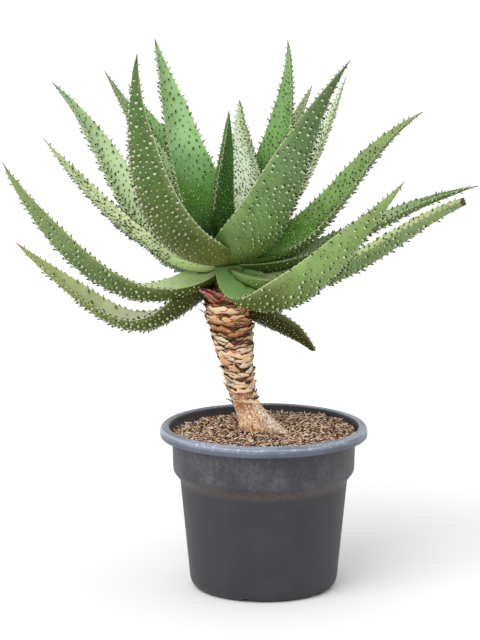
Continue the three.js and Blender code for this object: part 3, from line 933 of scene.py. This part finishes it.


# For each skin: its upper face and its lower face, from the foot to near the tip, and the tip. The
# lower faces are kept darker than the upper ones as painted shade, and the first stop, at the foot
# in the crown, is partly painted shade.
SKINS = {
    "vivid": ("#122c04 #4c7c2a #a0c88c #8db077", "#56732f #64853f #739452 #6b8850", "#4c3f30"),
    "deep": ("#234408 #4a7a26 #7aa660 #86ac70", "#3d6820 #4a7a26 #5f8f45 #6b9450", "#4c3f30"),
    "rising": ("#335f12 #557e2f #7f9f5c #8b9a64", "#56732f #64853f #6f8a4c #6b8049", "#4c3f30"),
    "bright": ("#b5cf90 #c3dda4 #a3c189 #7f9f6a", "#67823e #72904c #7b9a56 #6b8852", "#54483a"),
    "light": ("#d8ecb8 #e2f4c8 #d0e6b4 #8aa876", "#c8dc9c #cfe2ac #b8d094 #8aa568", "#54483a"),
    "far": ("#9db57c #b9cb9e #a9bf90 #5f7a4c", "#4b5a24 #4a5a26 #56703c #4a6030", "#2c3a1e"),
    "speckled": ("#c8dca4 #e4f0d0 #ecf6e0 #d2e2bc", "#b4c488 #c8d4a4 #c8d4a8 #a8b888", "#8c7a60"),
    "dark": ("#1a3a08 #295514 #356423 #436f31", "#264a10 #335e1b #3d6927 #436f31", "#332c20"),
    "olive": ("#597434 #84985a #8e9f68 #87936a", "#607338 #7c8c55 #83915e #7f8a62", "#6a5540"),
    "sage": ("#55803a #79a05c #80a562 #749454", "#525d20 #69864a #648050 #4a5e3a", "#3a281e"),
    "shaded": ("#466e20 #709a4e #80a562 #749458", "#646a2a #4c5a20 #546e36 #557040", "#463a2f"),
    "outer": ("#b5c790 #d3dfb6 #b5c692 #959f72", "#454c16 #4c5a22 #617a46 #84965c", "#7d4a3c"),
    "cut": ("#a9bd84 #c8d6a2 #c8d4a0 #b4bc84", "#8fa868 #66793c #728b58 #7d9160", "#4f4524"),
    "bowed": ("#86ad66 #a0c682 #a0c27e #86a464", "#56682a #525f22 #7f9a5a #80965a", "#8f6650"),
    # The drooping skin's near-white upper face is a painted highlight on its channel.
    "drooping": ("#dfe6bc #fffdf4 #dce2b4 #97a362", "#3a4014 #424a18 #6a7632 #939c50", "#8f4c3a"),
    "hanging": ("#35330e #393610 #3f3b12 #474316", "#2c2908 #322f0a #38350c #403c10", "#5a4230"),
}
SKIN_STOPS = (0.08, 0.3, 0.55, 0.9)


def leaf_skin(name, upper, lower, tip):
    """Waxy leaf skin, coloured by how far along and across the blade a point lies. The lower face
    and the foot are darker partly as painted shade, and the margins carry a painted highlight.
    """
    material, tree, shader, place = new_material("leaf_skin_" + name)
    along, across, above = carried(tree, "along", "across", "above")
    mottle = cloud(place, 42, 4, 0.6)
    bloom = cloud(place, 15, 2, 0.5)
    freckle = cloud(place, 480, 2, 0.5)
    wander = times(times(bloom, 0.5, "SUBTRACT"), 0.25)
    reach = times(along, wander, "ADD")
    # The lower face's colours are darker partly as painted shade.
    skin = mixed(above, ramp(reach, SKIN_STOPS, lower.split()),
                 ramp(reach, SKIN_STOPS, upper.split()))
    skin = coated(skin, "#ccdcae", mottle, 0.45, 0.72, 0.0, 0.3, how="SOFT_LIGHT")
    skin = coated(skin, "#2c4a12", mottle, 0.5, 0.28, 0.0, 0.35, how="SOFT_LIGHT")
    skin = coated(skin, "#d3dfb6", freckle, 0.62, 0.72, 0.0, 0.22)
    beyond_foot = stepped(along, 0.12, 0.32)
    # Paler towards the margins: a horny edge, with a painted highlight along it.
    skin = coated(skin, "#b9c28a", across, 0.8, 0.98, 0.0, 0.15, beyond_foot)
    skin = coated(skin, "#cdd6a6", across, 0.975, 0.998, 0.0, 0.4, beyond_foot)
    dry_from = 0.98 if name == "cut" else 0.95
    skin = coated(skin, tip, along, dry_from, 0.99)
    feed(shader, {"Base Color": skin, "Specular IOR Level": 0.16,
                  "Roughness": stepped(mottle, 0.3, 0.7, 0.44, 0.6),
                  "Normal": relief(mottle, 0.002, 0.7)})
    return material


leaf_skins = {name: leaf_skin(name, *colours) for name, colours in SKINS.items()}
cutters = bpy.data.collections.new("cutters")
bpy.context.scene.collection.children.link(cutters)


def add_cutter(mesh):
    """Puts a mesh among those that cut the leaves below."""
    cutters.objects.link(bpy.data.objects.new("cutter", mesh))


add_cutter(stem.data)
frames_of = {}
blades = {}
for leaf in LEAVES:
    name = "leaf_" + leaf["name"]
    frames = leaf_frames(leaf)
    points, faces, across, above = leaf_body(frames)
    mesh = new_mesh("uncut", points, faces)
    mesh.materials.append(leaf_skins[leaf["skin"]])
    s = np.repeat([frame[0] for frame in frames], len(across))
    across = np.tile(across, len(frames))
    above = np.tile(above, len(frames))
    spiny = leaf.get("spiny", 0)
    cream = leaf.get("cream", 0)
    inside = (across < BARE_MARGIN) * (s < BARE_TIP)
    on_face = above * (s > BARE_FACE) + spiny * (1 - above) * (s > BARE_SPINY_BACK)
    on_back = inside * (1 - above) * (1 - spiny) * (s > BARE_BACK)
    for label, values in (
            ("along", s), ("across", across), ("above", above),
            ("growth", np.interp(s, *PRICKLE_GROWTH)), ("face_prickles", inside * on_face),
            ("green_back_prickles", on_back * (1 - cream)),
            ("cream_back_prickles", on_back * cream),
            ("face_pimples", inside * above * np.interp(s, *PIMPLE_DENSITY)),
            ("leafward", np.repeat([frame[2] for frame in frames], 2 * SECTION_STEPS, axis=0))):
        carry(mesh, label, values)
    uncut = placed("uncut", mesh)
    trim = uncut.modifiers.new("trim", "BOOLEAN")
    trim.operation = "DIFFERENCE"
    trim.operand_type = "COLLECTION"
    trim.collection = cutters
    trim.solver = "MANIFOLD"
    graph = bpy.context.evaluated_depsgraph_get()
    mesh = bpy.data.meshes.new_from_object(uncut.evaluated_get(graph))
    bpy.data.objects.remove(uncut)
    largest_part(mesh)
    mesh.name = name + "_skin"
    mesh.shade_smooth()
    mesh.set_sharp_from_angle(angle=math.radians(SHARP_ANGLE))
    blade = placed(name + "_skin", mesh)
    add_cutter(new_mesh("cutter", *leaf_body(frames, CREVICE)[:2]))
    frames_of[leaf["name"]] = frames
    blades[leaf["name"]] = blade
    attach(blade, "root")
    if leaf.get("split"):
        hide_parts(name + "_foot", name + "_blade")
    else:
        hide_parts(name)
for cutter in list(cutters.objects):
    bpy.data.objects.remove(cutter)
bpy.data.collections.remove(cutters)


# Prickles stand on both faces of every leaf. Each is a small fleshy wart with a hard brown
# point, leaning towards the leaf's tip. The warts are pale green, and cream on one leaf's back.
CONE_SIZES = ("Foot Radius", "Top Radius", "Height", "Lift")
CONE_INPUTS = [*[(label, "Float") for label in CONE_SIZES], ("Seed", "Int"),
               ("Material", "Material")]
PRICKLE_SIDES = 5
PRICKLE_SIZES = (0.5, 1.4)


def stand_cones(tree, given, sides, points, facing, size):
    """Ends a tree with a cone stood on each point, facing and sized as told."""
    cone = add(tree, "GeometryNodeMeshCone",
               {"Vertices": sides, "Radius Top": given["Top Radius"],
                "Radius Bottom": given["Foot Radius"], "Depth": given["Height"]}).outputs["Mesh"]
    lift = add(tree, "ShaderNodeCombineXYZ", {"Z": given["Lift"]}).outputs[0]
    cone = add(tree, "GeometryNodeTransform", {"Geometry": cone, "Translation": lift}).outputs[0]
    turned = add(tree, "FunctionNodeAlignRotationToVector", {"Vector": facing}, axis="Z").outputs[0]
    stood = add(tree, "GeometryNodeInstanceOnPoints",
                {"Points": points, "Instance": cone, "Rotation": turned, "Scale": size}).outputs[0]
    close_tree(tree, stood, given["Material"])


tree, given = new_tree("Prickles", [
    ("Spacing", "Float"), ("Where", "String"), ("Lean", "Float"), *CONE_INPUTS])
where = read(tree, given["Where"])
chosen = {"Geometry": given["Geometry"], "Selection": times(where, 0.2, "GREATER_THAN")}
bearing_part = add(tree, "GeometryNodeSeparateGeometry", chosen, domain="FACE").outputs[0]
scatter = scattered(tree, given, bearing_part, 1.0e5, where)
leaning = vectors(read(tree, "leafward", "FLOAT_VECTOR"), given["Lean"], "SCALE")
stand_cones(tree, given, PRICKLE_SIDES, scatter["Points"],
            vectors(scatter["Normal"], leaning),
            times(read(tree, "growth"), random_in(tree, *PRICKLE_SIZES, given["Seed"])))

cream, pale_green, green = [plain_material(name, dark, light, 0.5, 90) for name, dark, light in (
    ("cream_warts", "#b4bc86", "#dfe4c0"), ("pale_green_warts", "#9cb878", "#cddcb0"),
    ("green_warts", "#8fae6c", "#b6cf96"))]
brown = plain_material("brown_points", "#0f0a06", "#2e1c12", 0.45, 200)
tan = plain_material("tan_points", "#1e160c", "#4a3824", 0.45, 200)
USUAL_SPACING = 9
SMALLEST, LARGEST = 0.72, 1.1
PIMPLE_SPACING = 0.5
PRICKLE_SEED = 100
KINDS = [
    # Piece, where, material, the cone's sizes and lean.
    ("pale_green_warts", "green_back_prickles", pale_green, (2.8, 1.1, 4.2, -0.5), 0.8),
    ("cream_warts", "cream_back_prickles", cream, (2.8, 1.1, 4.2, -0.5), 0.8),
    ("points_on_backs", "green_back_prickles", brown, (1.6, 0, 4.4, 3.2), 1.0),
    ("points_on_cream_warts", "cream_back_prickles", tan, (1.5, 0, 3.8, 3.2), 1.0),
    ("warts_on_faces", "face_prickles", green, (2.6, 1.3, 2.4, -0.4), 0.5),
    ("points_on_faces", "face_prickles", brown, (1.6, 0, 4.4, 1.4), 0.5),
    ("pimples_on_faces", "face_pimples", green, (1.9, 0.8, 1.4, -0.2), 0.35),
]
for kind, where, material, sizes, lean in KINDS:
    meshes = []
    for number, leaf in enumerate(LEAVES):
        spacing = leaf["below"] if "back" in where else leaf["above"]
        small = leaf.get("prickle_size", min(max(spacing / USUAL_SPACING, SMALLEST), LARGEST))
        if where == "face_pimples":
            spacing *= PIMPLE_SPACING
        meshes.append(grown(tree, blades[leaf["name"]], {
            "Spacing": spacing * MM, "Where": where, "Lean": lean, "Material": material,
            "Seed": PRICKLE_SEED + number,
            **dict(zip(CONE_SIZES, (s * small * MM for s in sizes)))}))
    gathered(kind, meshes, material)


# Teeth run in one row along both margins of every leaf, a little longer than the prickles. Each
# has a pale horny base and a brown point that leans towards the leaf's tip.
TOOTH_SPACING = 11
TOOTH_SIDES = 6
TOOTH_SIZES = (0.7, 1.3)
FIRST_TOOTH = 0.2
LAST_TOOTH = 0.97
TOOTH_LEAN = (0.45, 0.25)
END_GIRTH = 0.75
GIRTH_GAIN = 0.35
tree, given = new_tree("Margin teeth", [("Spacing", "Float"), *CONE_INPUTS])
edge_line = add(tree, "GeometryNodeMeshToCurve", {"Mesh": given["Geometry"]}).outputs[0]
rung = add(tree, "GeometryNodeResampleCurve", {"Curve": edge_line, "Length": given["Spacing"]},
           mode="LENGTH").outputs[0]
stand_cones(tree, given, TOOTH_SIDES, rung, read(tree, "outward", "FLOAT_VECTOR"),
            times(random_in(tree, *TOOTH_SIZES, given["Seed"]), read(tree, "girth")))

margins = []
for frames in frames_of.values():
    for hand in (1, -1):
        points, outwards, girths = [], [], []
        for s, place, along, side, up, half, _, channel in frames:
            if FIRST_TOOTH <= s <= LAST_TOOTH:
                points.append(place + side * half * hand + up * 2 * half * channel)
                outwards.append(side * hand + TOOTH_LEAN[0] * along + TOOTH_LEAN[1] * up)
                girths.append(END_GIRTH + GIRTH_GAIN * math.sin(math.pi * min(s * 1.2, 1)))
        margins.append((points, outwards, girths))
points = np.vstack([m[0] for m in margins])
edges = []
start = 0
for margin in margins:
    edges += [(start + i, start + i + 1) for i in range(len(margin[0]) - 1)]
    start += len(margin[0])
mesh = new_mesh("margin_lines", points, [], edges)
carry(mesh, "outward", np.vstack([m[1] for m in margins]))
carry(mesh, "girth", np.concatenate([m[2] for m in margins]))
margin_lines = placed("margin_lines", mesh)
horn = plain_material("pale_horn", "#a3b07a", "#c9d2a0", 0.5, 120)
for kind, material, sizes in (("tooth_bases", horn, (2.6, 1.3, 2.8, -0.6)),
                              ("tooth_points", brown, (1.45, 0, 4.8, 1.9))):
    mesh = grown(tree, margin_lines, {
        "Spacing": TOOTH_SPACING * MM, "Seed": 3, "Material": material,
        **dict(zip(CONE_SIZES, (s * MM for s in sizes)))})
    gathered(kind, [mesh], material)
bpy.data.objects.remove(margin_lines)


# The studio is a plain pale floor under an even sky. One large soft lamp high on the left is
# far enough off to light the floor evenly, so it is made as a sun with a wide disc.
CAMERA_PLACE = (-0.0425, -5.0, 1.4298)
CAMERA_TILT = 10.718
LENS = 161.4
SKY_STRENGTH = 0.84
LAMP_STRENGTH = 1.62
LAMP_DISC = 50
LAMP_CLIMB = 44
LAMP_BEARING = 236
floor_paint, _, shader, _ = new_material("studio_floor")
feed(shader, {"Base Color": (0.95, 0.95, 0.95, 1), "Roughness": 0.9})
bpy.ops.mesh.primitive_plane_add(size=80, location=(0, 0, -0.0005))
floor = bpy.context.object
floor.name = "studio_floor"
floor.data.materials.append(floor_paint)

world = bpy.data.worlds.new("studio_sky")
world.use_nodes = True
feed(world.node_tree.nodes["Background"], {"Color": (1, 1, 1, 1), "Strength": SKY_STRENGTH})
bpy.context.scene.world = world
lamp = placed("soft_lamp", bpy.data.lights.new("soft_lamp", "SUN"))
lamp.data.energy = LAMP_STRENGTH
lamp.data.angle = math.radians(LAMP_DISC)
lamp_aim = Vector(-heading(LAMP_BEARING, LAMP_CLIMB))
lamp.rotation_euler = lamp_aim.to_track_quat("-Z", "Y").to_euler()

camera = placed("camera", bpy.data.cameras.new("camera"))
camera.location = CAMERA_PLACE
camera.rotation_euler = (math.radians(90 - CAMERA_TILT), 0, 0)
camera.data.lens = LENS
camera.data.sensor_width = 36
camera.data.clip_end = 200
bpy.context.scene.camera = camera
bpy.context.scene.view_settings.view_transform = "Standard"
